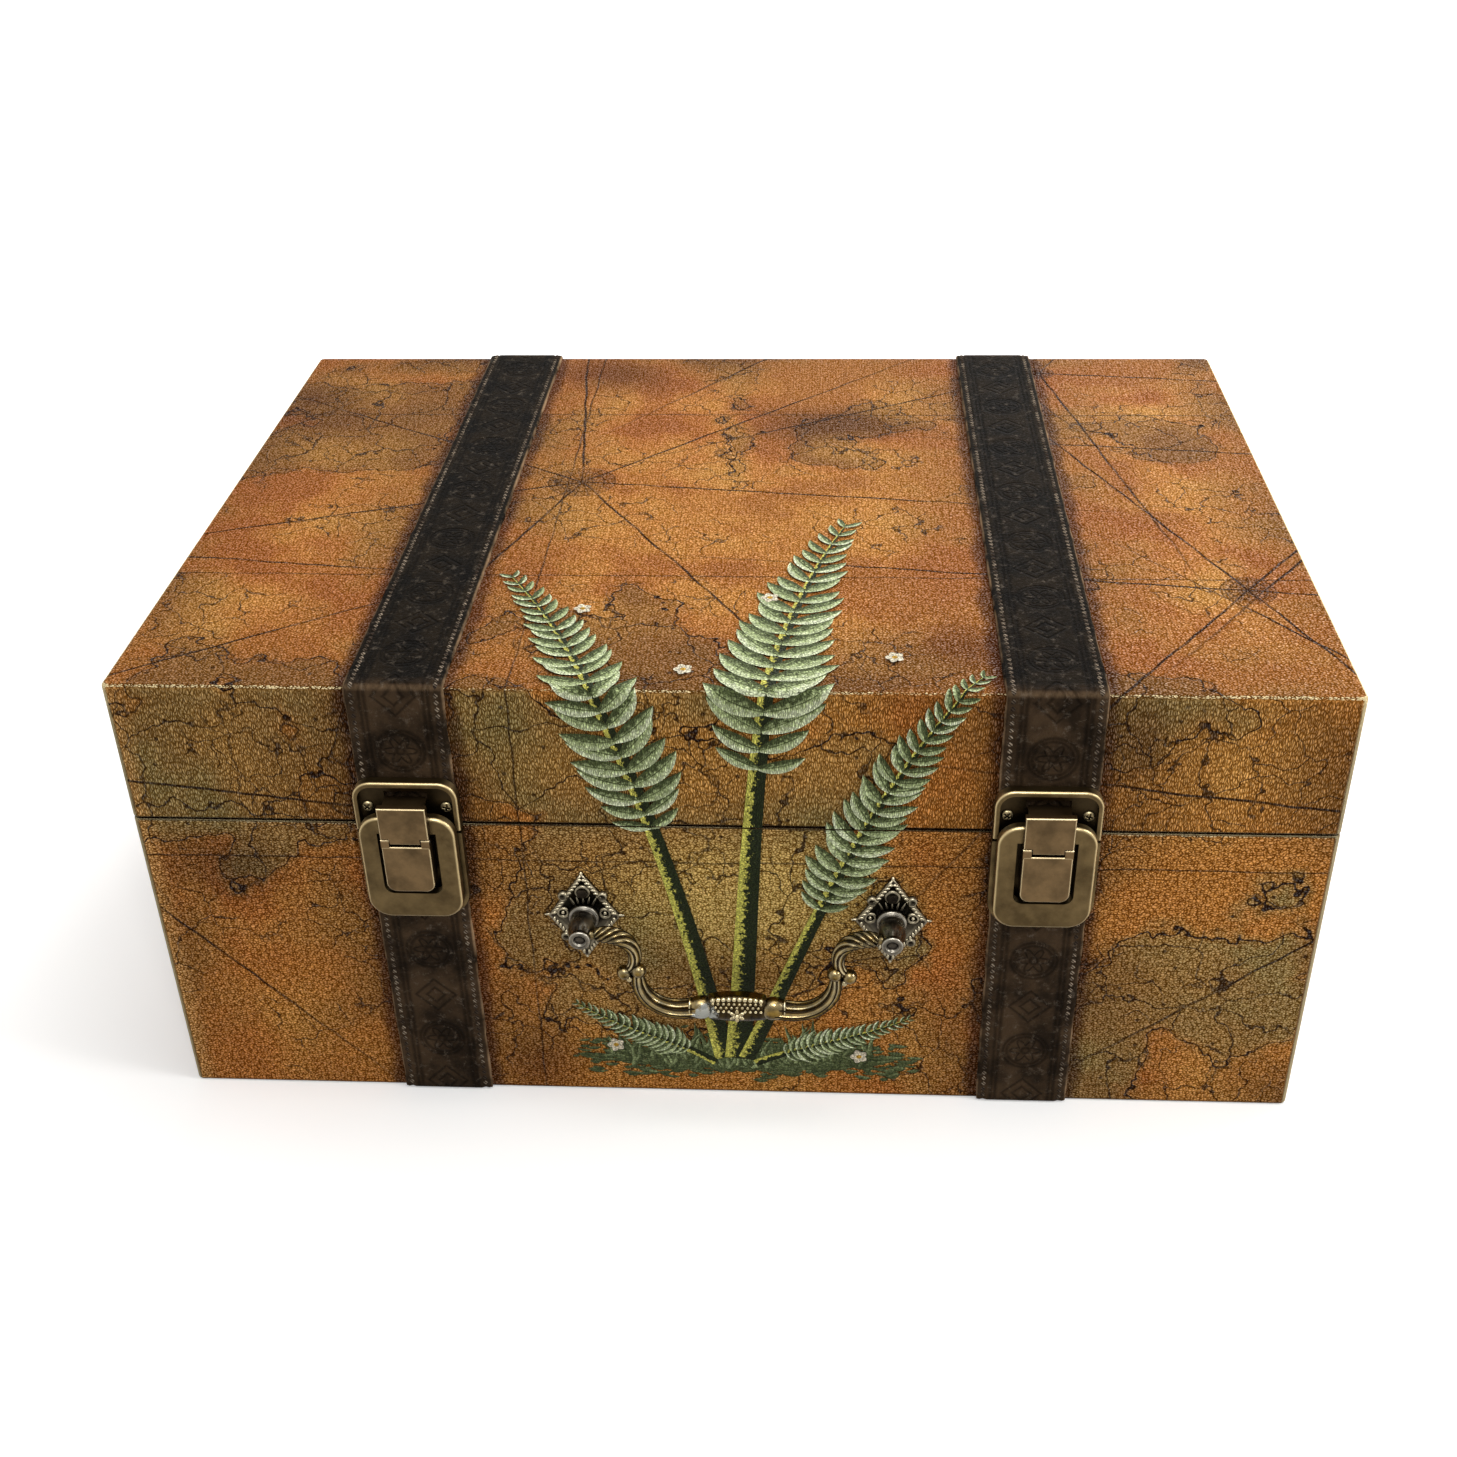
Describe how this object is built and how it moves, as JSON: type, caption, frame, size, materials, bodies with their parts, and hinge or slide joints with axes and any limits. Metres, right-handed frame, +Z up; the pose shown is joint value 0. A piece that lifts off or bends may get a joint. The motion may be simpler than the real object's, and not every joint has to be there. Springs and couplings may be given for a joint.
{
  "type": "keepsake chest",
  "caption": "Flat-lidded keepsake chest covered in printed leatherette, with leather straps, toggle latches, a swinging bail handle on the front and butt hinges at the back.",
  "frame": {"origin": "centre of the underside, on the surface that the chest stands on", "axes": "+X to the right of the front, +Y from the front to the back, +Z up"},
  "size_m": [0.366, 0.2814, 0.1596],
  "materials": {
    "leatherette": "printed, pebbled grain, semi-gloss",
    "strap_leather": "tooled, stitched along both edges",
    "latch_brass": "satin antique plating",
    "screw_brass": "antique plating",
    "pin_steel": "plain",
    "dark_bronze": "dark patina with worn edges",
    "bail_brass": "cast, antique patina with bright worn highlights",
    "board": "fibreboard",
    "lining": "matt felt paper",
    "underlay": "matt felt"
  },
  "bodies": {
    "body": {"body_front_board": "board", "body_back_board": "board", "body_left_board": "board", "body_right_board": "board", "body_cover": "leatherette", "body_lining": "lining", "body_floor_board": "board", "body_underlay": "underlay", "left_front_strap": "strap_leather", "left_back_strap": "strap_leather", "left_latch_base": "latch_brass", "left_latch_ring": "latch_brass", "left_lever_pins": "pin_steel", "left_rosette": "dark_bronze", "left_post": "dark_bronze", "left_hinge_body_leaf": "latch_brass", "left_hinge_pin": "pin_steel", "right_front_strap": "strap_leather", "right_back_strap": "strap_leather", "right_latch_base": "latch_brass", "right_latch_ring": "latch_brass", "right_lever_pins": "pin_steel", "right_rosette": "dark_bronze", "right_post": "dark_bronze", "right_hinge_body_leaf": "latch_brass", "right_hinge_pin": "pin_steel", "latch_screws": "screw_brass", "hinge_body_screws": "screw_brass", "rosette_nails": "dark_bronze", "handle_bolts": "pin_steel", "handle_washers": "pin_steel"},
    "lid": {"lid_front_board": "board", "lid_back_board": "board", "lid_left_board": "board", "lid_right_board": "board", "lid_cover": "leatherette", "lid_lining": "lining", "lid_top_board": "board", "left_lid_strap": "strap_leather", "right_lid_strap": "strap_leather", "left_keeper": "latch_brass", "right_keeper": "latch_brass", "keeper_screws": "screw_brass", "left_hinge_lid_leaf": "latch_brass", "right_hinge_lid_leaf": "latch_brass", "hinge_lid_screws": "screw_brass"},
    "bail": {"bail": "bail_brass"},
    "left_lever": {"left_lever": "latch_brass", "left_claw_pin": "pin_steel"},
    "left_claw": {"left_claw": "latch_brass"},
    "right_lever": {"right_lever": "latch_brass", "right_claw_pin": "pin_steel"},
    "right_claw": {"right_claw": "latch_brass"}
  },
  "joints": [
    {"name": "lid_hinge", "type": "hinge", "parent": "body", "child": "lid", "pos_m": [0, 0.1339, 0.11], "axis": [-1, 0, 0], "range_deg": [0, 105]},
    {"name": "left_lever_hinge", "type": "hinge", "parent": "body", "child": "left_lever", "pos_m": [-0.09575, -0.1379, 0.1135], "axis": [-1, 0, 0], "range_deg": [0, 80]},
    {"name": "left_claw_hinge", "type": "hinge", "parent": "left_lever", "child": "left_claw", "pos_m": [-0.09575, -0.14085, 0.11], "axis": [-1, 0, 0], "range_deg": [-96, 0]},
    {"name": "right_lever_hinge", "type": "hinge", "parent": "body", "child": "right_lever", "pos_m": [0.09575, -0.1379, 0.1135], "axis": [-1, 0, 0], "range_deg": [0, 80]},
    {"name": "right_claw_hinge", "type": "hinge", "parent": "right_lever", "child": "right_claw", "pos_m": [0.09575, -0.14085, 0.11], "axis": [-1, 0, 0], "range_deg": [-96, 0]},
    {"name": "bail_swing", "type": "hinge", "parent": "body", "child": "bail", "pos_m": [0.003, -0.1415, 0.0757], "axis": [-1, 0, 0], "range_deg": [-10, 190]}
  ],
  "couplings": [
    {"joint": "left_claw_hinge", "follows": "left_lever_hinge", "ratio": -1.2},
    {"joint": "right_claw_hinge", "follows": "right_lever_hinge", "ratio": -1.2}
  ]
}
